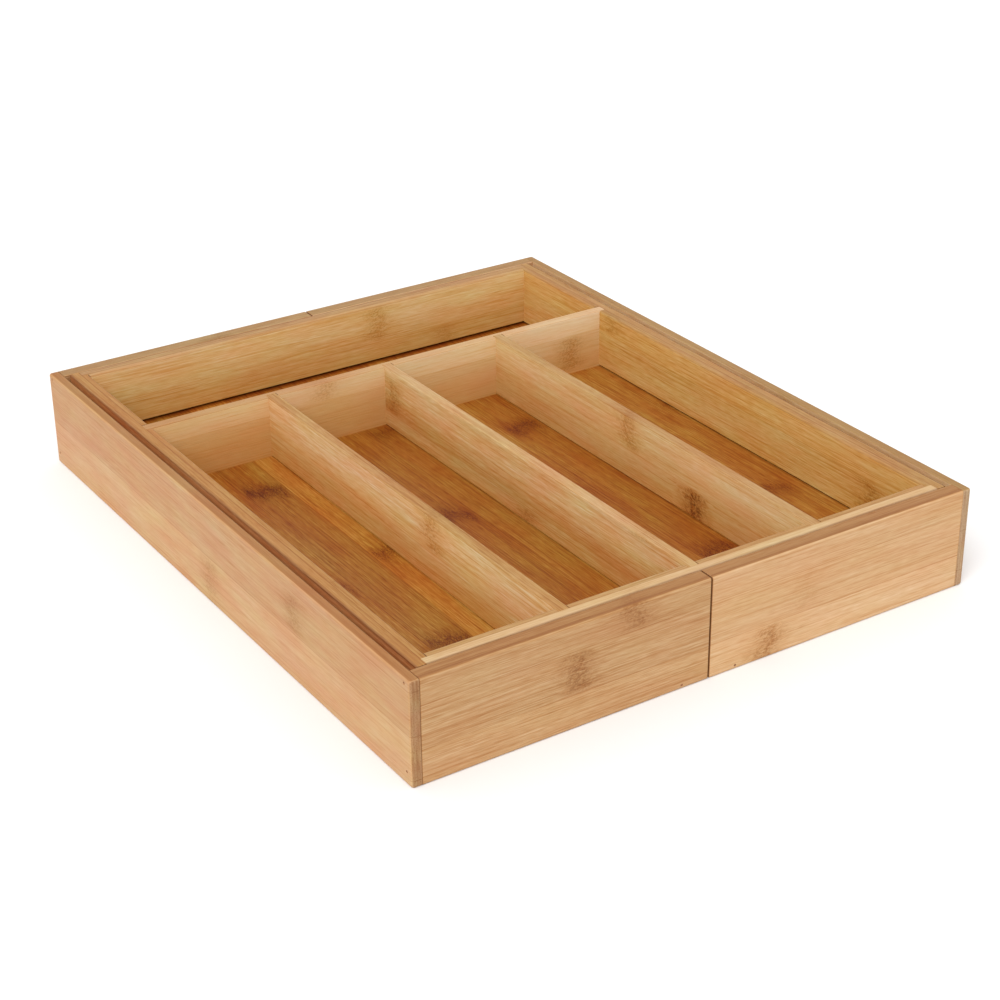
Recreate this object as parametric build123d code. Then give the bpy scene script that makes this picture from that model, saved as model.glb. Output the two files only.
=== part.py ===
from build123d import *
import os

# Expandable bamboo cutlery tray, shown closed. All lengths are in millimetres.
# The origin is the middle of the closed tray's footprint, at the height it stands on.
# X runs to the right, Y to the back and Z up.
# A fixed centre tray carries the compartments. Two wings wrap round it from the left
# and the right, meet at mid-width, and pull outwards on runners to widen the tray.

# Whole tray, closed
tray_width = 358.0
tray_depth = 431.0
tray_height = 60.0

# Wings: a side board, a front and a back board, and a base panel each
side_board_thickness = 5.8
end_board_thickness = 9.6
base_panel_thickness = 4.5
split_gap = 0.9
travel = 110.0

# Centre tray: walls laid up from two plies, a raised floor and thin dividers
wall_thickness = 9.6
inner_ply_thickness = 4.0
floor_thickness = 5.0
floor_top = 21.0
divider_thickness = 6.8
back_compartment_depth = 82.3
# Each divider's middle, as a share of the width between the side walls, from the left
divider_centre_shares = (0.248, 0.5, 0.757)

# Gaps and clearances
closed_side_gap = 4.1
slide_clearance = 0.3
base_clearance = 0.5
side_shadow_gap = 1.0
end_shadow_gap = 1.6
divider_foot_gap = 0.5
floor_side_play = 0.6
stop_clearance = 0.3

# Runners on the centre tray and the stopped grooves that they slide in
runner_height = 6.0
runner_depth = 3.8
runner_end_inset = 4.0
runner_clearance = 0.25
groove_stop_length = 7.5

# Eased edges
rim_easing = 1.3
joint_easing = 0.5
corner_easing = 1.6
split_easing = 0.4
wall_outer_easing = 0.5
wall_inner_easing = 1.2
divider_easing = 0.8
runner_easing = 0.6

# Headless brads that pin each wing together
brad_diameter = 1.4
brad_length = 18.0
brad_clearance = 0.05
brad_sink = 0.25
brad_from_split = 17.0
side_brad_below_rim = 2.6
side_brad_above_base = 3.0
# One overrun lets every cut pass clear of the face that it opens
cut_overrun = 1.0

# Places worked out from the sizes above
half_width = tray_width / 2
half_depth = tray_depth / 2
half_split = split_gap / 2
outer_ply_thickness = wall_thickness - inner_ply_thickness
side_inner_x = half_width - side_board_thickness
end_inner_y = half_depth - end_board_thickness
centre_half_width = side_inner_x - closed_side_gap
centre_half_depth = end_inner_y - slide_clearance
wall_inner_x = centre_half_width - wall_thickness
wall_inner_y = centre_half_depth - wall_thickness
ply_joint_x = centre_half_width - outer_ply_thickness
ply_joint_y = centre_half_depth - outer_ply_thickness
centre_underside = base_panel_thickness + base_clearance
floor_underside = floor_top - floor_thickness
cross_back_y = wall_inner_y - back_compartment_depth
cross_front_y = cross_back_y - divider_thickness
divider_centres = [wall_inner_x * (2 * share - 1) for share in divider_centre_shares]
runner_start_x = half_split + groove_stop_length + travel + stop_clearance
runner_end_x = centre_half_width - runner_end_inset
runner_middle_z = (centre_underside + tray_height) / 2
brad_hole_diameter = brad_diameter + 2 * brad_clearance
brad_hole_depth = brad_sink + brad_length


def block(x_span, y_span, z_span):
    """A plain board that fills the given spans."""
    sizes = [span[1] - span[0] for span in (x_span, y_span, z_span)]
    corner = Pos(x_span[0], y_span[0], z_span[0])
    return corner * Box(*sizes, align=(Align.MIN, Align.MIN, Align.MIN))


def both_ways(reach):
    """A span that reaches equally far to both sides of the middle."""
    return (-reach, reach)


def ease(piece, edges, radius, thickness):
    """Round the named edges, by no more than a third of the board's thickness."""
    return fillet(edges, min(radius, thickness / 3))


def mirrored(piece):
    """The same piece on the tray's left-hand side."""
    return mirror(piece, about=Plane.YZ)


def turned_to_front(piece):
    """The same piece at the front of the tray."""
    return mirror(piece, about=Plane.XZ)


def top_edges_along(piece, axis):
    """The long edges of a board's top face that follow the axis."""
    return piece.faces().sort_by(Axis.Z)[-1].edges().filter_by(axis)


def wall_upright():
    return (centre_underside, tray_height)


def divider_upright(foot_gap):
    """From the floor, or from just above it, up to the rim."""
    return (floor_top + foot_gap, tray_height)


def floor_groove_upright(shadow_gap):
    """The groove that holds the floor, with a shadow gap above it."""
    return (floor_underside, floor_top + shadow_gap)


def centre_right_wall():
    """Side wall: rabbeted at both ends, grooved for the floor, housed for the cross divider."""
    wall = block((wall_inner_x, centre_half_width), both_ways(centre_half_depth), wall_upright())
    rim = top_edges_along(wall, Axis.Y).sort_by(Axis.X)
    wall = ease(wall, rim[:1], wall_inner_easing, wall_thickness)
    rim = top_edges_along(wall, Axis.Y).sort_by(Axis.X)
    wall = ease(wall, rim[-1:], wall_outer_easing, wall_thickness)
    inner_ply = (wall_inner_x - cut_overrun, ply_joint_x)
    full_height = (centre_underside - cut_overrun, tray_height + cut_overrun)
    rabbet = block(inner_ply, (ply_joint_y, centre_half_depth + cut_overrun), full_height)
    groove = block(
        inner_ply, both_ways(centre_half_depth + cut_overrun), floor_groove_upright(side_shadow_gap)
    )
    housing = block(
        inner_ply, (cross_front_y, cross_back_y), (floor_top, tray_height + cut_overrun)
    )
    return wall - rabbet - turned_to_front(rabbet) - groove - housing


def plain_end_wall():
    """Back wall: its outer ply reaches into the rabbets of the side walls."""
    outer = block(both_ways(ply_joint_x), (ply_joint_y, centre_half_depth), wall_upright())
    rim = top_edges_along(outer, Axis.X).sort_by(Axis.Y)
    outer = ease(outer, rim[-1:], wall_outer_easing, outer_ply_thickness)
    inner = block(both_ways(wall_inner_x), (wall_inner_y, ply_joint_y), wall_upright())
    rim = top_edges_along(inner, Axis.X).sort_by(Axis.Y)
    inner = ease(inner, rim[:1], wall_inner_easing, inner_ply_thickness)
    groove = block(
        both_ways(wall_inner_x + cut_overrun),
        (wall_inner_y - cut_overrun, ply_joint_y),
        floor_groove_upright(end_shadow_gap),
    )
    return outer + inner - groove


def divider_housings(y_span):
    """The slots that take the ends of the three dividers."""
    z_span = (floor_top + divider_foot_gap, tray_height + cut_overrun)
    slots = []
    for centre in divider_centres:
        x_span = (centre - divider_thickness / 2, centre + divider_thickness / 2)
        slots.append(block(x_span, y_span, z_span))
    return slots


def centre_front_wall():
    wall = turned_to_front(plain_end_wall())
    for slot in divider_housings((-ply_joint_y, -wall_inner_y + cut_overrun)):
        wall = wall - slot
    return wall


def centre_floor_panel():
    """The raised floor, held in grooves all round with a little room to swell."""
    reach_x = ply_joint_x - floor_side_play
    reach_y = ply_joint_y - floor_side_play
    return block(both_ways(reach_x), both_ways(reach_y), (floor_underside, floor_top))


def cross_divider():
    board = block(both_ways(ply_joint_x), (cross_front_y, cross_back_y), divider_upright(0))
    board = ease(board, top_edges_along(board, Axis.X), divider_easing, divider_thickness)
    slot_depth = min(inner_ply_thickness, divider_thickness * 2 / 3)
    for slot in divider_housings((cross_front_y - cut_overrun, cross_front_y + slot_depth)):
        board = board - slot
    return board


def divider(centre):
    """Long divider: its two ends hold it a little above the floor."""
    slot_depth = min(inner_ply_thickness, divider_thickness * 2 / 3)
    x_span = (centre - divider_thickness / 2, centre + divider_thickness / 2)
    y_span = (-ply_joint_y, cross_front_y + slot_depth)
    board = block(x_span, y_span, divider_upright(divider_foot_gap))
    return ease(board, top_edges_along(board, Axis.Y), divider_easing, divider_thickness)


def back_right_runner():
    """A strip glued to the centre tray's wall; the wing's groove rides along it."""
    height = (runner_middle_z - runner_height / 2, runner_middle_z + runner_height / 2)
    strip = block(
        (runner_start_x, runner_end_x),
        (centre_half_depth, centre_half_depth + runner_depth),
        height,
    )
    outer_face = strip.faces().sort_by(Axis.Y)[-1]
    return ease(strip, outer_face.edges(), runner_easing, runner_depth)


def brad(head, direction):
    """A brad whose head lies just under the surface at the given place."""
    seat = Plane(origin=head, z_dir=direction)
    pin = Cylinder(
        brad_diameter / 2, brad_length, align=(Align.CENTER, Align.CENTER, Align.MIN)
    )
    return seat * Pos(0, 0, brad_sink) * pin


def brad_hole(head, direction):
    seat = Plane(origin=head, z_dir=direction)
    drill = Cylinder(
        brad_hole_diameter / 2,
        brad_hole_depth + cut_overrun,
        align=(Align.CENTER, Align.CENTER, Align.MIN),
    )
    return seat * Pos(0, 0, -cut_overrun) * drill


def right_wing_brad_seats():
    """Places and directions of the right wing's brads."""
    board_middle_y = half_depth - end_board_thickness / 2
    heights = (
        tray_height - side_brad_below_rim,
        base_panel_thickness + side_brad_above_base,
    )
    seats = []
    for end in (-1, 1):
        for height in heights:
            seats.append(((half_width, end * board_middle_y, height), (-1, 0, 0)))
        place = (half_split + brad_from_split, end * half_depth, base_panel_thickness / 2)
        seats.append((place, (0, -end, 0)))
    return seats


def drilled(piece):
    """The piece with the holes of every brad that passes through it."""
    for head, direction in right_wing_brad_seats():
        piece = piece - brad_hole(head, direction)
    return piece


def right_back_board():
    """Wing board: its stopped groove is closed by the side board at the outer end."""
    board = block((half_split, side_inner_x), (end_inner_y, half_depth), (0, tray_height))
    outer_edges = board.faces().sort_by(Axis.Y)[-1].edges().filter_by(Axis.X)
    board = ease(board, outer_edges, rim_easing, end_board_thickness)
    inner_edge = top_edges_along(board, Axis.X).sort_by(Axis.Y)[:1]
    board = ease(board, inner_edge, joint_easing, end_board_thickness)
    split_face = board.faces().sort_by(Axis.X)[0]
    board = ease(board, split_face.edges(), split_easing, end_board_thickness)
    slot_half_height = runner_height / 2 + runner_clearance
    groove = block(
        (half_split + groove_stop_length, side_inner_x + cut_overrun),
        (end_inner_y - cut_overrun, centre_half_depth + runner_depth + runner_clearance),
        (runner_middle_z - slot_half_height, runner_middle_z + slot_half_height),
    )
    return drilled(board - groove)


def right_side_board():
    board = block((side_inner_x, half_width), both_ways(half_depth), (0, tray_height))
    uprights = board.edges().filter_by(Axis.Z).group_by(Axis.X)[-1]
    board = ease(board, uprights, corner_easing, side_board_thickness)
    inner_outline = board.faces().sort_by(Axis.X)[0].edges()
    ends = board.faces().sort_by(Axis.Z)
    outer_edges = [
        edge for face in (ends[0], ends[-1]) for edge in face.edges() if edge not in inner_outline
    ]
    board = ease(board, outer_edges, rim_easing, side_board_thickness)
    inner_outline = board.faces().sort_by(Axis.X)[0].edges()
    board = ease(board, inner_outline, joint_easing, side_board_thickness)
    return drilled(board)


def right_base_panel():
    panel = block(
        (half_split, side_inner_x), both_ways(end_inner_y), (0, base_panel_thickness)
    )
    return drilled(panel)


def right_brads():
    """The wing's brads, as one group of separate pins."""
    return Compound([brad(head, direction) for head, direction in right_wing_brad_seats()])


def wing_pieces():
    """Every piece of the right wing, and its twin on the left."""
    right = {
        "side_board": right_side_board(),
        "back_board": right_back_board(),
        "base_panel": right_base_panel(),
        "brads": right_brads(),
    }
    right["front_board"] = turned_to_front(right["back_board"])
    pieces = {}
    for name, piece in right.items():
        pieces["right_wing_" + name] = piece
        pieces["left_wing_" + name] = mirrored(piece)
    return pieces


def centre_pieces():
    right_wall = centre_right_wall()
    runner = back_right_runner()
    names = ("left_divider", "middle_divider", "right_divider")
    pieces = {
        "centre_right_wall": right_wall,
        "centre_left_wall": mirrored(right_wall),
        "centre_back_wall": plain_end_wall(),
        "centre_front_wall": centre_front_wall(),
        "centre_floor_panel": centre_floor_panel(),
        "cross_divider": cross_divider(),
        "back_right_runner": runner,
        "back_left_runner": mirrored(runner),
        "front_right_runner": turned_to_front(runner),
        "front_left_runner": mirrored(turned_to_front(runner)),
    }
    for name, centre in zip(names, divider_centres):
        pieces[name] = divider(centre)
    return pieces


os.makedirs("parts", exist_ok=True)
for node, solid in {**centre_pieces(), **wing_pieces()}.items():
    export_step(solid, "parts/" + node + ".step")
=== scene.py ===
import math

import bpy
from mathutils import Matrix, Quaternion, Vector


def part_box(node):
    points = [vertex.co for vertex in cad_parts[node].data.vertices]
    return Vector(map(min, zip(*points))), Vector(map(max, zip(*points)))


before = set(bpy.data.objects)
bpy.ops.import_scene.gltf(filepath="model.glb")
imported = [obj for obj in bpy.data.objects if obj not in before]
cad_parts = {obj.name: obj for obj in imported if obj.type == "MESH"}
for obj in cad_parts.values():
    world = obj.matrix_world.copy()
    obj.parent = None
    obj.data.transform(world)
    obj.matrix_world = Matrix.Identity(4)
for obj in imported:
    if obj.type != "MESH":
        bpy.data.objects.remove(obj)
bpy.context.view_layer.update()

MM = 0.001
AXES = "XYZ"

# The camera of the photograph, worked out from the tray's straight edges.
CAMERA_PLACE = (-0.60585, -0.95640, 0.59432)
CAMERA_AIM = (0.48237, 0.74720, -0.45718)
CAMERA_ROLL = -0.00965
CAMERA_LENS = 77.56
CAMERA_SENSOR = 36.0
CAMERA_NEAREST = 0.05
CAMERA_FARTHEST = 60.0

# Plain studio light: an even white sky, and one broad lamp from the left, the front and above.
SKY_COLOUR = (1.0, 1.0, 1.0, 1.0)
SKY_STRENGTH = 0.85
KEY_FROM = (-0.52, -0.40, 0.76)
KEY_STRENGTH = 1.75
KEY_SPREAD = 38.0

# The stage: a wide floor of pale paper with a faint mottle, just under the tray.
STAGE_REACH = 12.0
STAGE_DROP = 0.1 * MM
PAPER_TONES = ((0.90, 0.90, 0.90, 1.0), (0.92, 0.92, 0.92, 1.0))
PAPER_MOTTLES = 6.0
PAPER_ROUGHNESS = 0.8
PAPER_ROUGHER = 0.1
PAPER_GLOSS = 0.1

# Every board is glued up from flat strips of one width, each with its own tone and its own nodes, the
# rings that a bamboo cane has. A wall has two plies: the inner one is thin, and the outer one's grain is
# another stretch of the same wood.
STRIP_WIDTH = 25 * MM
INNER_PLY = 4 * MM
PLY_SHIFT = 0.137
# A ramp can't hold a number below zero, so it holds places and tones with the first of these added, and
# warmths with the second.
RAMP_SHIFT = 0.5
WARM_SHIFT = 4.0
# What stands in where a strip has fewer than two nodes: a place (mm) far beyond the tray, and no strength.
NO_NODE = (9000, 0.0)

# The widths of the lines between strips, between plies and between pieces.
JOINT_WIDTH = 0.2 * MM
GLUE_WIDTH = 0.22 * MM
SEAM_WIDTH = 0.45 * MM
# The height of the tray's floor, and the painted shade round it: a thin dark line at the foot of a wall
# with a soft painted shade about it, with its strength beside the line, and a painted shade on the floor
# itself along the back wall.
FLOOR_TOP = 21 * MM
PAINTED_FOOT_SHADE = 2.5 * MM
PAINTED_FOOT_SHADE_STRENGTH = 0.3
PAINTED_WALL_SHADE = 2.6 * MM
# The painted band on a face that looks into a gap, painted shade on the left and painted light elsewhere:
# how far below the rim it is still full, and where it is gone.
BAND_FULL = 4 * MM
BAND_GONE = 11 * MM
# The painted shadow line on a wall's top outer arris, beside the dark gap: how far in it lies, how wide it
# is, and how much a step down the face counts beside a step in over the edge. It is full at one place on Y
# and weaker at the other.
ARRIS_PLACE = 0.3 * MM
ARRIS_WIDTH = 0.6 * MM
ARRIS_DOWN = 0.6
ARRIS_FRONT = -0.16
ARRIS_BACK = 0.10
ARRIS_AT_BACK = 0.75
# The darker line on a board's top edge: how far from the board's side it lies, and how wide it is.
RIM_PLACE = 2.2 * MM
RIM_WIDTH = 1.0 * MM
# How far a surface is turned, from 0 to 1, where it starts to count as an outer face or as an end, and
# where it counts in full. An edge starts at each board's own number, and takes this much more.
TURN_FROM = 0.45
TURN_TO = 0.85
EDGE_TURN = 0.14

# A node's line wavers and ripples along the strip. It has a brown patch, a scar beside its middle and a
# stretch round it that bends the fibres, each with its own width. It is weaker on the edges, and near
# the strip's joints, where it grows from one distance to another.
NODE_WAVE = 9.0 * MM
NODE_RIPPLE = 4.0 * MM
NODE_WIDTH = 8.5 * MM
SCAR_PLACE = 2.0 * MM
SCAR_WIDTH = 0.9 * MM
SURROUND_WIDTH = 17.0 * MM
NODE_BEND = 2.0 * MM
NODE_EDGE_LOSS = 0.7
NODE_FROM = -1.0 * MM
NODE_FULL = 4.0 * MM
# The specks in a node slant: how much of the place across is added to the one along, and how much of
# the one along is taken off the one across.
SPECK_LEAN_ALONG = 0.8
SPECK_LEAN_ACROSS = 0.5
SPECK_DETAIL = 1.5

# A painted highlight, broken up like wear, makes the wood paler near its arrises: how far in it reaches,
# and where it is full.
WEAR_AND_HIGHLIGHT_REACH = 1.5 * MM
WEAR_AND_HIGHLIGHT_FULL = 0.3 * MM
# How much less the grain shows on the ends and on the edges, and the strips' tones on the ends.
GRAIN_END_LOSS = 0.8
GRAIN_EDGE_LOSS = 0.35
TONE_END_LOSS = 0.8
# How many cut fibres the ends show to a metre.
CUT_FIBRES = 1250.0

# The layers of the grain: how long and how wide their streaks are, and how much finer detail they hold.
STREAKS = {
    "fibres": (46 * MM, 0.76 * MM, 1.0),
    "flecks": (6.5 * MM, 0.60 * MM, 0.0),
    "dark lines": (52 * MM, 0.85 * MM, 0.0),
    "bands": (70 * MM, 3.6 * MM, 2.0),
    "broad bands": (160 * MM, 15 * MM, 1.0),
    "pores": (12 * MM, 0.75 * MM, 0.0),
}
STREAK_ROUGHNESS = 0.6
# The other noises: how many features they have to a metre along, across and through, and their detail.
FEATURES = {
    "node wave": (0.0, 130.0, 60.0, 1.0),
    "node ripple": (160.0, 700.0, 0.0, 1.0),
    "node bend": (90.0, 150.0, 0.0, 1.0),
    "patches": (24.0, 75.0, 75.0, 2.0),
    "hues": (19.0, 64.0, 64.0, 2.0),
    "end streaks": (0.0, 45.0, 1100.0, 2.0),
}
SPECKS = (480.0, 1000.0, 1000.0)
# The value of its pattern at which each of these sets in, and the one at which it is full.
LEVELS = {
    "dark lines": (0.55, 0.70), "pores": (0.60, 0.74), "node specks": (0.46, 0.62),
    "pale specks": (0.44, 0.32), "end dots": (0.42, 0.18), "wear_and_highlight": (0.30, 0.62),
}
# How far each part of the wood deepens its colour, as a share of the colour's own exponent.
DEPTHS = {
    "fibres": 0.27, "flecks": 0.19, "dark lines": 0.21, "bands": 0.11, "broad bands": 0.11, "pores": 0.13,
    "patches": 0.11,
    "node": 0.22, "node specks": 0.26, "node scar": 0.20, "node surround": 0.12, "pale specks": -0.14,
    # seam deepens both the boards' end seams and the painted shade along the floor.
    "end streaks": 0.40, "end dots": 0.22, "joint": 0.28, "glue": 0.42, "seam": 0.85, "wear_and_highlight": -0.05,
    "rim line": 0.24,
}
# How each of these changes red, green and blue, and how much warmer the broad bands make the wood.
TINTS = {
    "warm": (0.035, -0.020, -0.110),
    "reddish": (0.055, -0.045, 0.0),
    "golden": (0.0, 0.0, -0.10),
}
BAND_WARMTH = 0.35
# How much darker a node makes all three alike.
SCORCH = {"node specks": -0.15, "node": -0.05}
# How rough the wood is, and how much rougher or more raised each part makes it.
WOOD_ROUGHNESS = 0.50
ROUGHER = {"fibres": 0.07, "pores": 0.08, "end face": 0.14, "node": 0.04, "wear_and_highlight": 0.05}
RAISED = {
    "fibres": 0.55, "bands": 0.35, "pores": -0.45, "dark lines": -0.30, "node specks": 0.25,
    "node scar": 0.50, "end dots": -0.4, "joint": -0.35,
}
WOOD_GLOSS = 0.3
WOOD_BUMP = (0.35, 0.15 * MM)

# The pins are bare wire: patches of stain and fine scratches, in features to a metre.
PIN_PATCHES = 1400.0
PIN_SCRATCHES = 4200.0
PIN_STAIN = (0.42, 0.66)
PIN_METAL = 0.5
PIN_METAL_LOSS = 0.3
PIN_ROUGHNESS = 0.36
PIN_SCRATCH_ROUGHNESS = 0.2
PIN_STAIN_ROUGHNESS = 0.18
PIN_BUMP = (0.3, 0.03 * MM)


def linear(red, green, blue):
    """A colour of 0 to 255, as a screen shows it, in the linear units that shaders use."""
    shares = [c / 255 for c in (red, green, blue)]
    return (*(c / 12.92 if c <= 0.04045 else ((c + 0.055) / 1.055) ** 2.4 for c in shares), 1.0)


class Graph:
    """Adds nodes to one shader tree. A value may be a number, a tuple or another node's socket."""

    # How the nodes are laid out on the sheet: so many in a row, and the steps between them.
    ROW = 12
    STEP_ACROSS = 200
    STEP_DOWN = -160
    # The numbers of a colour mix's sockets: the share and the two colours, and the result.
    MIX_INPUTS = (0, 6, 7)
    MIX_RESULT = 2

    def __init__(self, tree):
        self.tree = tree
        self.count = 0

    def node(self, kind, **settings):
        made = self.tree.nodes.new(kind)
        row, place = divmod(self.count, self.ROW)
        made.location = (self.STEP_ACROSS * place, self.STEP_DOWN * row)
        self.count += 1
        for name, value in settings.items():
            setattr(made, name, value)
        return made

    def give(self, socket, value):
        if isinstance(value, bpy.types.NodeSocket):
            self.tree.links.new(value, socket)
        else:
            socket.default_value = value

    def math(self, operation, *values):
        made = self.node("ShaderNodeMath", operation=operation)
        for socket, value in zip(made.inputs, values):
            self.give(socket, value)
        return made.outputs[0]

    def add(self, *values):
        total = values[0]
        for value in values[1:]:
            total = self.math("ADD", total, value)
        return total

    def times(self, *values):
        total = values[0]
        for value in values[1:]:
            total = self.math("MULTIPLY", total, value)
        return total

    def minus(self, a, b):
        return self.math("SUBTRACT", a, b)

    def weighed(self, values, weights):
        """Each named value times the weight of the same name."""
        return [self.times(value, weights[name]) for name, value in values.items()]

    def lessened(self, value, loss):
        """1 less a share of a value."""
        return self.math("MULTIPLY_ADD", value, -loss, 1.0)

    def smooth(self, value, start, end):
        """0 before start and 1 after end, with a soft step between. Start may be above end."""
        made = self.node("ShaderNodeMapRange", interpolation_type="SMOOTHSTEP")
        for socket, number in zip(made.inputs, (value, start, end, 0.0, 1.0)):
            self.give(socket, number)
        return made.outputs[0]

    def bell(self, distance, width):
        """1 where distance is 0, falling away over width on both sides."""
        share = self.math("DIVIDE", distance, width)
        return self.math("EXPONENT", self.times(share, share, -1.0))

    def vector(self, x, y, z):
        made = self.node("ShaderNodeCombineXYZ")
        for socket, value in zip(made.inputs, (x, y, z)):
            self.give(socket, value)
        return made.outputs[0]

    def parts(self, vector):
        """The X, Y and Z of a vector, by the names of the axes."""
        made = self.node("ShaderNodeSeparateXYZ")
        self.give(made.inputs[0], vector)
        return dict(zip(AXES, made.outputs))

    def noise(self, vector, scale=1.0, detail=2.0, roughness=0.5):
        made = self.node("ShaderNodeTexNoise", noise_dimensions="3D")
        self.give(made.inputs["Vector"], vector)
        self.give(made.inputs["Scale"], scale)
        self.give(made.inputs["Detail"], detail)
        self.give(made.inputs["Roughness"], roughness)
        return made.outputs[0]

    def around_zero(self, value):
        """A noise of 0 to 1 as one of -1 to 1."""
        return self.math("MULTIPLY_ADD", value, 2.0, -1.0)

    def mix(self, share, first, second, **settings):
        """The first colour where share is 0, and the second one where it is 1."""
        made = self.node("ShaderNodeMix", data_type="RGBA", **settings)
        for number, value in zip(self.MIX_INPUTS, (share, first, second)):
            self.give(made.inputs[number], value)
        return made.outputs[self.MIX_RESULT]

    def scaled_colour(self, colour, red, green, blue):
        """A colour with each of its channels multiplied by a number of its own."""
        factors = self.node("ShaderNodeCombineColor")
        for socket, value in zip(factors.inputs, (red, green, blue)):
            self.give(socket, value)
        return self.mix(1.0, colour, factors.outputs[0], blend_type="MULTIPLY")

    def surface(self, colour, roughness, gloss=None, metal=None, height=None, bump=None):
        """The shader at the end of a material. gloss is a number, and bump a strength and a distance."""
        shader = self.node("ShaderNodeBsdfPrincipled")
        self.give(shader.inputs["Base Color"], colour)
        self.give(shader.inputs["Roughness"], roughness)
        if gloss is not None:
            shader.inputs["Specular IOR Level"].default_value = gloss
        if metal is not None:
            self.give(shader.inputs["Metallic"], metal)
        if height is not None:
            strength, distance = bump
            raised = self.node("ShaderNodeBump")
            raised.inputs["Strength"].default_value = strength
            raised.inputs["Distance"].default_value = distance
            self.give(raised.inputs["Height"], height)
            self.give(shader.inputs["Normal"], raised.outputs[0])
        self.give(self.node("ShaderNodeOutputMaterial").inputs[0], shader.outputs[0])


def new_material(name):
    material = bpy.data.materials.new(name)
    material.use_nodes = True
    material.node_tree.nodes.clear()
    return material


def group_tree(name, inputs, outputs):
    tree = bpy.data.node_groups.new(name, "ShaderNodeTree")
    for in_out, sockets in (("INPUT", inputs), ("OUTPUT", outputs)):
        for label, kind in sockets:
            tree.interface.new_socket(name=label, in_out=in_out, socket_type="NodeSocket" + kind)
    return tree


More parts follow.
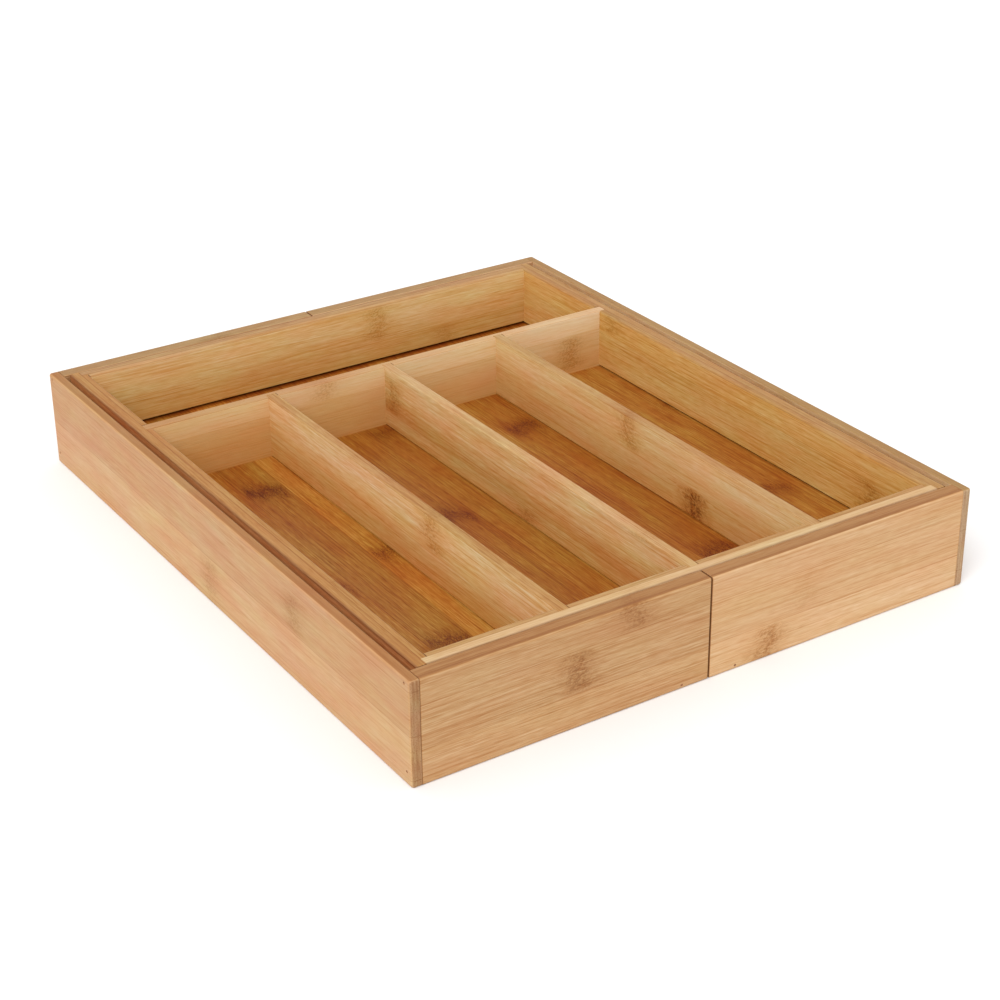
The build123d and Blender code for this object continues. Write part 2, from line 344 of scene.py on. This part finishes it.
def bamboo_group():
    """The wood itself. Along runs with the fibres, across over the strips, through the thickness."""
    floats = ("Along", "Across", "Through", "Seed", "Edge face", "End face", "To edge", "Joint", "Seam",
              "Place 1", "Place 2", "Mark 1", "Mark 2", "Deep", "Warm", "Glue", "Rim", "Lean",
              "Grain", "Patches")
    inputs = [(label, "Float") for label in floats]
    inputs += [(label, "Color") for label in ("Face colour", "Edge colour", "End colour")]
    tree = group_tree("bamboo", inputs, [("Color", "Color"), ("Roughness", "Float"), ("Height", "Float")])
    g = Graph(tree)
    given = g.node("NodeGroupInput").outputs
    along, across, through, seed = (given[n] for n in ("Along", "Across", "Through", "Seed"))
    edge_face, end_face = given["Edge face"], given["End face"]

    def feature(name, seeded):
        """One of the named noises. The board's seed moves it on the axis with this number."""
        *rates, detail = FEATURES[name]
        spots = zip((along, across, through), rates)
        places = [g.times(spot, rate) if rate else 0.0 for spot, rate in spots]
        places[seeded] = g.add(places[seeded], seed)
        return g.noise(g.vector(*places), detail=detail)

    def level(name, value):
        return g.smooth(value, *LEVELS[name])

    # The nodes: a soft brown patch across the strip, with ragged specks and a thin wavy scar in it.
    wave, ripple = feature("node wave", 0), feature("node ripple", 2)
    wobble = g.add(g.times(g.around_zero(wave), NODE_WAVE), g.times(g.around_zero(ripple), NODE_RIPPLE))
    inside = g.smooth(given["Joint"], NODE_FROM, NODE_FULL)
    patch, scar, surround = 0.0, 0.0, 0.0
    for place, mark in (("Place 1", "Mark 1"), ("Place 2", "Mark 2")):
        strength = g.times(given[mark], inside, g.lessened(edge_face, NODE_EDGE_LOSS))
        away = g.add(g.minus(along, given[place]), wobble)
        patch = g.add(patch, g.times(strength, g.bell(away, NODE_WIDTH)))
        scar = g.add(scar, g.times(strength, g.bell(g.minus(away, SCAR_PLACE), SCAR_WIDTH)))
        surround = g.add(surround, g.times(strength, g.bell(away, SURROUND_WIDTH)))
    slanted = (g.add(along, g.times(across, SPECK_LEAN_ALONG)),
               g.minus(across, g.times(along, SPECK_LEAN_ACROSS)), through)
    speck_place = g.vector(*(g.times(spot, rate) for spot, rate in zip(slanted, SPECKS)))
    speck = g.noise(speck_place, detail=SPECK_DETAIL, roughness=STREAK_ROUGHNESS)
    node_specks = g.times(patch, level("node specks", speck))

    # The fibres: long thin streaks, which bend round a node.
    bend = g.times(surround, g.around_zero(feature("node bend", 2)), NODE_BEND)
    bent_across, bent_through = g.add(across, bend), g.add(through, bend)

    def streaks(name):
        length, width, detail = STREAKS[name]
        place = g.vector(g.add(g.times(along, 1 / length), seed),
                         g.times(bent_across, 1 / width), g.times(bent_through, 1 / width))
        return g.noise(place, detail=detail, roughness=STREAK_ROUGHNESS)

    fibres, bands, broad = (streaks(name) for name in ("fibres", "bands", "broad bands"))
    lines, pores = (level(name, streaks(name)) for name in ("dark lines", "pores"))
    patches = g.times(g.around_zero(feature("patches", 0)), given["Patches"])
    hues = g.times(g.around_zero(feature("hues", 1)), given["Patches"])

    # The ends of the strips: streaks that follow the strip's width, and the dots of cut fibres.
    end_streaks = g.times(end_face, g.around_zero(feature("end streaks", 0)))
    cut_fibres = g.node("ShaderNodeTexVoronoi", feature="F1")
    g.give(cut_fibres.inputs["Vector"], g.vector(seed, across, through))
    g.give(cut_fibres.inputs["Scale"], CUT_FIBRES)
    dots = g.times(end_face, level("end dots", cut_fibres.outputs["Distance"]))

    # The colour: the parts that deepen it, and then the ones that change its hue.
    joint_line = g.bell(given["Joint"], JOINT_WIDTH)
    # A painted highlight along the arrises, broken up by the bands like wear.
    wear_and_highlight = g.times(g.smooth(given["To edge"], WEAR_AND_HIGHLIGHT_REACH, WEAR_AND_HIGHLIGHT_FULL), level("wear_and_highlight", bands))
    grain = {
        "fibres": g.around_zero(fibres), "bands": g.around_zero(bands), "broad bands": g.around_zero(broad),
        "dark lines": lines, "pores": pores, "flecks": g.around_zero(streaks("flecks")),
    }
    others = {
        "node": patch, "node specks": node_specks, "node scar": scar, "node surround": surround,
        "pale specks": g.times(patch, level("pale specks", speck)),
        "end streaks": end_streaks, "end dots": dots, "joint": joint_line, "glue": given["Glue"],
        # The seam input holds both the dark seams at the boards' ends and the painted shade along the floor.
        "seam": given["Seam"], "wear_and_highlight": wear_and_highlight, "rim line": g.times(edge_face, given["Rim"]),
        "patches": patches,
    }
    grain_share = g.minus(1.0, g.add(g.times(end_face, GRAIN_END_LOSS), g.times(edge_face, GRAIN_EDGE_LOSS)))
    grain_depth = g.times(g.add(*g.weighed(grain, DEPTHS)), given["Grain"], grain_share)
    tone = g.times(given["Deep"], g.lessened(end_face, TONE_END_LOSS))
    depth = g.add(1.0, tone, given["Lean"], grain_depth, *g.weighed(others, DEPTHS))

    base = g.mix(edge_face, given["Face colour"], given["Edge colour"])
    base = g.mix(end_face, base, given["End colour"])
    deepened = g.node("ShaderNodeGamma")
    g.give(deepened.inputs["Color"], base)
    g.give(deepened.inputs["Gamma"], depth)
    shifts = {
        "warm": g.add(given["Warm"], g.times(g.around_zero(broad), BAND_WARMTH)),
        "reddish": patches, "golden": hues,
    }
    scorched = g.add(1.0, *g.weighed({"node specks": node_specks, "node": patch}, SCORCH))
    factors = []
    for channel in range(3):
        tints = [g.times(shift, TINTS[name][channel]) for name, shift in shifts.items()]
        factors.append(g.add(scorched, *tints))
    toned = g.scaled_colour(deepened.outputs[0], *factors)

    # The surface: what makes it rougher, and what stands out of it or lies in it.
    dulled = {
        "fibres": g.around_zero(fibres), "pores": pores, "end face": end_face, "node": patch, "wear_and_highlight": wear_and_highlight,
    }
    raised = {
        "fibres": fibres, "bands": bands, "pores": pores, "dark lines": lines, "node specks": node_specks,
        "node scar": scar, "end dots": dots, "joint": joint_line,
    }
    rough = g.add(WOOD_ROUGHNESS, *g.weighed(dulled, ROUGHER))
    height = g.add(*g.weighed(raised, RAISED))
    out = g.node("NodeGroupOutput")
    for label, value in (("Color", toned), ("Roughness", rough), ("Height", height)):
        g.give(out.inputs[label], value)
    return tree


BAMBOO = bamboo_group()


def strip_table(g, strips, share):
    """Two ramps with one flat step per strip, read at a share of the way over the strips: its nodes'
    places and its tone, and its nodes' strengths and its warmth."""
    places, looks = [], []
    for deep, warm, *marks in strips:
        (place_1, mark_1), (place_2, mark_2) = (*marks, NO_NODE, NO_NODE)[:2]
        places.append((place_1 * MM, place_2 * MM, deep))
        looks.append((mark_1, mark_2, warm))
    ramps = (
        (("Place 1", "Place 2", "Deep"), (RAMP_SHIFT, RAMP_SHIFT, RAMP_SHIFT), places),
        (("Mark 1", "Mark 2", "Warm"), (0.0, 0.0, WARM_SHIFT), looks),
    )
    table = {}
    for labels, shifts, rows in ramps:
        ramp = g.node("ShaderNodeValToRGB")
        ramp.color_ramp.interpolation = "CONSTANT"
        g.give(ramp.inputs[0], share)
        steps = ramp.color_ramp.elements
        for i, row in enumerate(rows):
            start = i / len(rows)
            step = steps[i] if i < len(steps) else steps.new(start)
            step.position = start
            step.color = (*(value + shift for value, shift in zip(row, shifts)), 1.0)
        parts = g.node("ShaderNodeSeparateColor")
        g.give(parts.inputs[0], ramp.outputs[0])
        for label, shift, value in zip(labels, shifts, parts.outputs):
            table[label] = g.minus(value, shift) if shift else value
    return table


class BoardGraph(Graph):
    """The shader tree of one board. It knows each point's place in the board and the way it faces."""

    def __init__(self, tree, name):
        super().__init__(tree)
        self.low, self.high = (dict(zip(AXES, corner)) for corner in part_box(name))
        coordinates = self.node("ShaderNodeTexCoord")
        self.spots = self.parts(coordinates.outputs["Object"])
        self.facing = self.parts(coordinates.outputs["Normal"])

    def from_side(self, axis, side):
        """The distance from the board's high side on an axis where side is 1, or from its low one at -1."""
        if side > 0:
            return self.minus(self.high[axis], self.spots[axis])
        return self.minus(self.spots[axis], self.low[axis])

    def from_sides(self, axis):
        return self.math("MINIMUM", self.from_side(axis, -1), self.from_side(axis, 1))

    def from_edge(self):
        """The distance from the nearest edge: the middle one of the three distances from the sides."""
        x, y, z = (self.from_sides(axis) for axis in AXES)
        nearer, farther = self.math("MINIMUM", x, y), self.math("MAXIMUM", x, y)
        return self.math("MAXIMUM", nearer, self.math("MINIMUM", farther, z))

    def turned(self, axis, start, end):
        """1 where the surface faces either way along an axis."""
        return self.smooth(self.math("ABSOLUTE", self.facing[axis]), start, end)

    def painted_arris_shadow(self, through, side, strength):
        """A painted shadow line along the top outer arris of a wall, a little weaker towards the back."""
        down = self.times(self.from_side("Z", 1), ARRIS_DOWN)
        to_arris = self.math("MAXIMUM", self.from_side(through, side), down)
        to_front = self.smooth(self.spots["Y"], ARRIS_BACK, ARRIS_FRONT)
        share = self.math("MULTIPLY_ADD", to_front, 1.0 - ARRIS_AT_BACK, ARRIS_AT_BACK)
        return self.times(self.bell(self.minus(to_arris, ARRIS_PLACE), ARRIS_WIDTH), share, strength)


def bamboo_material(name, grain, through, first_joint, strips, seed, face, edge, end, contrast=1.0,
                    patches=1.0, seam=0.0, foot=0.0, back=None, rim=None, outer_edge=None, inner_side=0,
                    edge_from=0.2, lean=0.0, painted_depth_shade=None, painted_wall_shade=0.0):
    """The wood of one board. A side is -1 or 1: the low or the high one on the through axis.
    contrast and patches: how strongly the grain and the soft patches show.
    seam and foot: how dark the lines are at the board's two ends, and how strong the painted shade is along
    the tray's floor.
    back: (side, colour of a band under the rim on that side, strength of a painted shadow line along its
    arris). The band is painted shade on the left wall and painted light on the other faces in the gaps.
    rim: (side, strength) of a darker line on the top edge, near that side.
    inner_side and outer_edge: the side of the thin inner ply, and the colour of the outer ply's edge.
    edge_from: how far the surface is turned where it starts to count as an edge.
    lean: how much deeper the tone gets over a metre of the board's length.
    painted_depth_shade: (upper height, lower height, how much deeper, how much warmer), a painted shade, a
    soft change of tone from one height (mm) to the other, deeper towards the tray's floor.
    painted_wall_shade: how much deeper the tone is along the back wall's foot, a painted shade on the floor."""
    material = new_material(name)
    g = BoardGraph(material.node_tree, name)
    across = (set(AXES) - {grain, through}).pop()
    along = g.spots[grain]

    share = g.times(g.minus(g.spots[across], first_joint * MM), 1 / STRIP_WIDTH)
    index = g.math("FLOOR", share)
    within = g.minus(share, index)
    joint = g.times(g.math("MINIMUM", within, g.minus(1.0, within)), STRIP_WIDTH)
    table = strip_table(g, strips, g.times(g.add(index, 0.5), 1 / len(strips)))
    # Painted shade: the tone deepens softly towards the tray's floor, and its warmth changes with it.
    if painted_depth_shade:
        upper, lower, deeper, warmer = painted_depth_shade
        painted_shade_share = g.smooth(g.spots["Z"], upper * MM, lower * MM)
        table["Deep"] = g.add(table["Deep"], g.times(painted_shade_share, deeper))
        table["Warm"] = g.add(table["Warm"], g.times(painted_shade_share, warmer))
    # A painted shade on the floor panel, deepest at the back wall's foot.
    if painted_wall_shade:
        to_back_wall = g.minus(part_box("centre_back_wall")[0][1], g.spots["Y"])
        table["Deep"] = g.add(table["Deep"], g.times(g.bell(to_back_wall, PAINTED_WALL_SHADE), painted_wall_shade))

    # Painted shade along the tray's floor: a thin dark line at the foot with a softer, wider shade round it.
    to_foot = g.minus(g.spots["Z"], FLOOR_TOP)
    painted_foot_line = g.add(g.bell(to_foot, SEAM_WIDTH), g.times(g.bell(to_foot, PAINTED_FOOT_SHADE), PAINTED_FOOT_SHADE_STRENGTH))
    # The end seams and this painted foot shade go into the wood together.
    seams_and_painted_foot_shade = g.add(g.times(g.bell(g.from_sides(grain), SEAM_WIDTH), seam), g.times(painted_foot_line, foot))
    rim_line = 0.0
    if rim:
        rim_side, strength = rim
        rim_line = g.times(g.bell(g.minus(g.from_side(through, rim_side), RIM_PLACE), RIM_WIDTH), strength)

    # A painted band under the rim on a face that looks into a gap: shade on the left wall, light elsewhere.
    if back:
        back_side, painted_band_colour, arris = back
        faces_back = g.smooth(g.times(g.facing[through], float(back_side)), TURN_FROM, TURN_TO)
        in_band = g.smooth(g.from_side("Z", 1), BAND_GONE, BAND_FULL)
        face = g.mix(g.times(faces_back, in_band), face, painted_band_colour)
    glue = 0.0
    if inner_side:
        beyond_joint = g.minus(g.from_side(through, inner_side), INNER_PLY)
        outer = g.math("GREATER_THAN", beyond_joint, 0.0)
        along = g.math("MULTIPLY_ADD", outer, PLY_SHIFT, along)
        edge = g.mix(outer, edge, outer_edge)
        glue = g.bell(beyond_joint, GLUE_WIDTH)
    # A painted shadow line along the arris that looks into the gap.
    if back:
        painted_arris_share = g.painted_arris_shadow(through, back_side, arris)
        face, edge = (g.mix(painted_arris_share, colour, PAINTED_ARRIS_SHADOW) for colour in (face, edge))

    wood = g.node("ShaderNodeGroup", node_tree=BAMBOO)
    values = {
        "Along": along, "Across": g.spots[across], "Through": g.spots[through], "Seed": float(seed),
        "Edge face": g.turned(across, edge_from, edge_from + EDGE_TURN),
        "End face": g.turned(grain, TURN_FROM, TURN_TO),
        "To edge": g.from_edge(), "Joint": joint, "Glue": glue, "Seam": seams_and_painted_foot_shade, "Rim": rim_line,
        "Grain": float(contrast), "Patches": float(patches), "Lean": g.times(g.spots[grain], lean),
        "Face colour": face, "Edge colour": edge, "End colour": end, **table,
    }
    for label, value in values.items():
        g.give(wood.inputs[label], value)
    g.surface(wood.outputs["Color"], wood.outputs["Roughness"], gloss=WOOD_GLOSS,
              height=wood.outputs["Height"], bump=WOOD_BUMP)
    return material


def steel_material(name):
    """The pins: bare wire, dull and a little brown with age."""
    material = new_material(name)
    g = Graph(material.node_tree)
    place = g.node("ShaderNodeTexCoord").outputs["Object"]
    patches = g.noise(place, scale=PIN_PATCHES, detail=3.0, roughness=0.6)
    scratches = g.noise(place, scale=PIN_SCRATCHES, detail=1.0)
    stain = g.smooth(patches, *PIN_STAIN)
    rough = g.add(PIN_ROUGHNESS, g.times(scratches, PIN_SCRATCH_ROUGHNESS),
                  g.times(stain, PIN_STAIN_ROUGHNESS))
    g.surface(g.mix(stain, PIN_STEEL, PIN_BROWN), rough,
              metal=g.math("MULTIPLY_ADD", stain, -PIN_METAL_LOSS, PIN_METAL),
              height=g.add(scratches, patches), bump=PIN_BUMP)
    return material


def paper_material():
    """The stage's pale paper, with a faint mottle."""
    material = new_material("pale_floor")
    g = Graph(material.node_tree)
    place = g.node("ShaderNodeTexCoord").outputs["Object"]
    mottle = g.noise(place, scale=PAPER_MOTTLES, detail=3.0)
    g.surface(g.mix(mottle, *PAPER_TONES), g.math("MULTIPLY_ADD", mottle, PAPER_ROUGHER, PAPER_ROUGHNESS),
              gloss=PAPER_GLOSS)
    return material


# The tones of the wood and the pins: broad faces, narrow edges, ends of strips, and single places, among
# them the painted light and shade of the gaps and of the arris line.
LEFT_FRONT_FACE = linear(189, 148, 103)
RIGHT_FRONT_FACE = linear(203, 163, 119)
SIDE_FACE = linear(192, 149, 105)
BASE_FACE = linear(190, 146, 98)
WALL_FACE = linear(222, 184, 124)
SIDE_WALL_FACE = linear(210, 168, 102)
CROSS_FACE = linear(228, 195, 147)
DIVIDER_FACE = linear(221, 182, 128)
FLOOR_FACE = linear(159, 101, 34)
# Painted light for the faces that look into the gaps on the right, at the front and at the back, and painted
# shade for the left wall's outer face in the gap on the left.
PAINTED_GAP_LIGHT = linear(214, 178, 134)
PAINTED_GAP_SHADE = linear(194, 128, 77)
BOARD_EDGE = linear(169, 122, 73)
LEFT_BOARD_EDGE = linear(172, 123, 73)
RIGHT_BOARD_EDGE = linear(180, 146, 99)
BACK_BOARD_EDGE = linear(167, 130, 83)
WALL_EDGE = linear(172, 120, 61)
RIGHT_WALL_EDGE = linear(175, 133, 79)
FRONT_PLY_EDGE = linear(179, 137, 83)
BACK_PLY_EDGE = linear(171, 129, 80)
CREAM_EDGE = linear(203, 170, 124)
TAN_EDGE = linear(182, 137, 84)
CROSS_EDGE = linear(186, 141, 94)
DIVIDER_EDGE = linear(198, 154, 102)
LEFT_DIVIDER_EDGE = linear(172, 124, 68)
BOARD_END = linear(160, 118, 79)
RIGHT_BOARD_END = linear(171, 138, 104)
# The colour of the painted shadow along a wall's outer arris.
PAINTED_ARRIS_SHADOW = linear(118, 66, 32)
PIN_STEEL = linear(176, 126, 90)
PIN_BROWN = linear(138, 90, 62)

# Each board: the axis of its fibres, the axis of its thickness, one strip joint (mm), and its strips
# from that joint up as (how much deeper, warmth, (place of a node along the board in mm, strength)...).
BOARDS = {
    "left_wing_front_board": dict(
        grain="X", through="Y", first_joint=-5, face=LEFT_FRONT_FACE, edge=BOARD_EDGE, seed=11, seam=0.3,
        contrast=0.85, patches=0.6, edge_from=0.85, rim=(-1, 1.0),
        strips=[(0.0, 0.4), (0.06, 0.0, (-82, 0.8)), (0.08, -0.1, (-48, 0.65))]),
    "right_wing_front_board": dict(
        grain="X", through="Y", first_joint=-5, face=RIGHT_FRONT_FACE, edge=BOARD_EDGE, seed=23, seam=0.3,
        contrast=0.75, patches=0.6, edge_from=0.85, rim=(-1, 1.0),
        strips=[(-0.08, 0.4, (39, 0.95)), (0.09, 0.2, (63, 0.15)), (0.07, 0.0)]),
    "left_wing_side_board": dict(
        grain="Y", through="X", first_joint=4, face=SIDE_FACE, edge=LEFT_BOARD_EDGE, seed=37,
        contrast=0.42, patches=1.8, edge_from=0.85, rim=(-1, 0.4),
        strips=[(-0.04, 0.5, (0, 0.4)), (0.09, 0.1, (-100, 0.45)), (0.10, 0.1)]),
    "right_wing_side_board": dict(
        grain="Y", through="X", first_joint=10, face=SIDE_FACE, edge=RIGHT_BOARD_EDGE, seed=41,
        back=(-1, PAINTED_GAP_LIGHT, 0.0), end=RIGHT_BOARD_END,
        strips=[(0.0, 0.2, (118, 0.7)), (0.06, 0.0, (-62, 0.8), (154, 0.5)), (0.02, 0.1, (-140, 0.6))]),
    "left_wing_back_board": dict(
        grain="X", through="Y", first_joint=-9, face=LEFT_FRONT_FACE, edge=BACK_BOARD_EDGE, seed=53,
        seam=0.3, edge_from=0.85,
        strips=[(0.0, 0.1), (-0.03, 0.2, (-118, 0.7)), (0.04, 0.0, (-66, 0.8))]),
    "right_wing_back_board": dict(
        grain="X", through="Y", first_joint=-9, face=RIGHT_FRONT_FACE, edge=BACK_BOARD_EDGE, seed=67,
        seam=0.3, edge_from=0.85,
        strips=[(0.04, 0.0, (128, 0.6)), (0.0, 0.2, (74, 0.8)), (0.05, 0.0)]),
    "left_wing_base_panel": dict(
        grain="Y", through="Z", first_joint=-200, face=BASE_FACE, edge=BOARD_EDGE, seed=71,
        strips=[(0.05, 0.2, (-60, 0.7)), (-0.05, 0.0, (120, 0.6)), (0.08, 0.3, (20, 0.7)),
                (0.0, 0.1, (-150, 0.6)), (-0.07, 0.0, (70, 0.6)), (0.1, 0.3, (-96, 0.7)),
                (0.0, 0.1, (148, 0.6)), (-0.03, 0.0, (-20, 0.5))]),
    "right_wing_base_panel": dict(
        grain="Y", through="Z", first_joint=0, face=BASE_FACE, edge=BOARD_EDGE, seed=83,
        strips=[(0.0, 0.1, (90, 0.6)), (0.07, 0.3, (-128, 0.7)), (-0.05, 0.0, (34, 0.6)),
                (0.05, 0.2, (-44, 0.6)), (0.0, 0.1, (160, 0.6)), (-0.07, 0.0, (-84, 0.7)),
                (0.07, 0.3, (58, 0.6)), (0.0, 0.1, (-170, 0.5))]),
    # On the front, left and right walls and the cross divider, the lower strips' extra depth is partly the
    # strips' own tone and partly painted shade, darker towards the floor.
    "centre_front_wall": dict(
        grain="X", through="Y", first_joint=-7, face=WALL_FACE, edge=FRONT_PLY_EDGE, outer_edge=CREAM_EDGE,
        inner_side=1, back=(-1, PAINTED_GAP_LIGHT, 0.5), seed=97, seam=0.4, contrast=1.1,
        strips=[(0.4, -1.0), (0.2, 0.0, (-30, 0.7)), (0.0, 0.0, (96, 0.6))]),
    "centre_back_wall": dict(
        grain="X", through="Y", first_joint=-14.5, face=WALL_FACE, edge=TAN_EDGE, outer_edge=BACK_PLY_EDGE,
        inner_side=-1, back=(1, PAINTED_GAP_LIGHT, 0.8), seed=101, seam=0.4, foot=0.3, contrast=1.2, patches=1.5,
        painted_depth_shade=(55, 26, 0.46, -1.3),
        strips=[(0.0, 0.0), (0.02, -0.1, (95, 0.45)), (-0.04, 0.0, (43, 0.85))]),
    "centre_left_wall": dict(
        grain="Y", through="X", first_joint=-4, face=WALL_FACE, edge=WALL_EDGE, outer_edge=WALL_EDGE,
        inner_side=1, back=(-1, PAINTED_GAP_SHADE, 0.75), seed=113, foot=0.3, contrast=0.95,
        strips=[(0.3, -0.6), (0.2, -0.3, (60, 0.7)), (0.0, 0.0, (-112, 0.7))]),
    "centre_right_wall": dict(
        grain="Y", through="X", first_joint=-4, face=SIDE_WALL_FACE, edge=RIGHT_WALL_EDGE,
        outer_edge=RIGHT_WALL_EDGE, inner_side=-1, back=(1, PAINTED_GAP_LIGHT, 0.8), seed=127, foot=0.2,
        contrast=1.2, patches=1.5,
        strips=[(0.18, -0.4), (0.10, -0.2, (-157, 0.9)), (0.06, 0.6, (94, 0.6))]),
    "cross_divider": dict(
        grain="X", through="Y", first_joint=-2.5, face=CROSS_FACE, edge=CROSS_EDGE, seed=131,
        foot=0.5, contrast=0.65, patches=1.2, lean=-1.5, painted_depth_shade=(60, 22, 0.75, -0.8),
        strips=[(0.13, -0.2), (0.13, -0.2, (138, 1.1)), (-0.07, 0.2, (-45, 0.7))]),
    "left_divider": dict(
        grain="Y", through="X", first_joint=13, face=DIVIDER_FACE, edge=LEFT_DIVIDER_EDGE, seed=149,
        foot=0.8, contrast=1.35, patches=1.8, painted_depth_shade=(53, 22, 0.85, -1.2),
        strips=[(-0.13, -0.3), (-0.08, 0.2, (-79, 0.8))]),
    "middle_divider": dict(
        grain="Y", through="X", first_joint=6, face=DIVIDER_FACE, edge=DIVIDER_EDGE, seed=151,
        foot=0.8, contrast=1.5, patches=2.2, painted_depth_shade=(50, 31, 0.75, -1.3),
        strips=[(-0.16, -0.8, (-51, 0.9)), (0.12, -0.6, (97, 1.0)), (0.10, -0.8, (-158, 0.8))]),
    "right_divider": dict(
        grain="Y", through="X", first_joint=14, face=DIVIDER_FACE, edge=TAN_EDGE, seed=163,
        foot=0.5, contrast=1.2, patches=1.8, painted_depth_shade=(56, 26, 0.50, -1.3),
        strips=[(0.05, -0.4, (-100, 2.4)), (0.04, -0.3, (-36, 0.9))]),
    "centre_floor_panel": dict(
        grain="Y", through="Z", first_joint=-171.8, face=FLOOR_FACE, edge=TAN_EDGE, seed=173,
        patches=2.2, painted_wall_shade=0.5,
        strips=[(0.0, 0.3, (110, 0.7)), (0.0, 0.1, (-60, 0.6)), (0.05, -0.8, (67, 1.2), (-138, 1.0)),
                (-0.12, 1.4, (-37, 0.9)), (0.0, 0.2, (140, 0.6)), (0.12, 0.3, (-23, 0.8)),
                (0.05, -0.3, (96, 0.6)), (0.0, 0.2, (-70, 0.6)), (0.0, 0.1, (136, 0.5)),
                (0.08, 0.2, (57, 1.0), (-138, 0.9)), (0.04, 0.3, (-21, 0.7)), (0.0, 0.3, (150, 0.6)),
                (0.0, 0.2, (-98, 0.6)), (0.0, 0.4, (31, 0.6))]),
}
RUNNER_SEEDS = {"front_left": 181, "front_right": 191, "back_left": 193, "back_right": 197}
for place, seed in RUNNER_SEEDS.items():
    BOARDS[place + "_runner"] = dict(
        grain="X", through="Y", first_joint=0, face=WALL_FACE, edge=TAN_EDGE, seed=seed,
        strips=[(0.0, 0.0), (0.05, 0.1), (0.0, 0.0)])

looks = {name: bamboo_material(name, **{"end": BOARD_END, **board}) for name, board in BOARDS.items()}
looks.update((name, steel_material(name)) for name in ("left_wing_brads", "right_wing_brads"))
for name, material in looks.items():
    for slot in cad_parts[name].material_slots:
        slot.material = material

floor_mesh = bpy.data.meshes.new("stage_floor")
corners = [(x * STAGE_REACH, y * STAGE_REACH, -STAGE_DROP)
           for x, y in ((-1, -1), (1, -1), (1, 1), (-1, 1))]
floor_mesh.from_pydata(corners, [], [(0, 1, 2, 3)])
floor_mesh.materials.append(paper_material())
floor = bpy.data.objects.new("stage_floor", floor_mesh)
bpy.context.scene.collection.objects.link(floor)

world = bpy.data.worlds.new("studio")
world.use_nodes = True
background = world.node_tree.nodes["Background"]
background.inputs["Color"].default_value = SKY_COLOUR
background.inputs["Strength"].default_value = SKY_STRENGTH
bpy.context.scene.world = world

key_data = bpy.data.lights.new("key_light", "SUN")
key_data.energy = KEY_STRENGTH
key_data.angle = math.radians(KEY_SPREAD)
key = bpy.data.objects.new("key_light", key_data)
key.rotation_mode = "QUATERNION"
key.rotation_quaternion = (-Vector(KEY_FROM)).to_track_quat("-Z", "Y")
bpy.context.scene.collection.objects.link(key)

camera_data = bpy.data.cameras.new("camera")
camera_data.lens = CAMERA_LENS
camera_data.sensor_width = CAMERA_SENSOR
camera_data.clip_start = CAMERA_NEAREST
camera_data.clip_end = CAMERA_FARTHEST
camera = bpy.data.objects.new("camera", camera_data)
camera.location = CAMERA_PLACE
camera.rotation_mode = "QUATERNION"
aimed = Vector(CAMERA_AIM).to_track_quat("-Z", "Y")
camera.rotation_quaternion = aimed @ Quaternion((0.0, 0.0, 1.0), CAMERA_ROLL)
bpy.context.scene.collection.objects.link(camera)
bpy.context.scene.camera = camera
bpy.context.scene.view_settings.view_transform = "Standard"
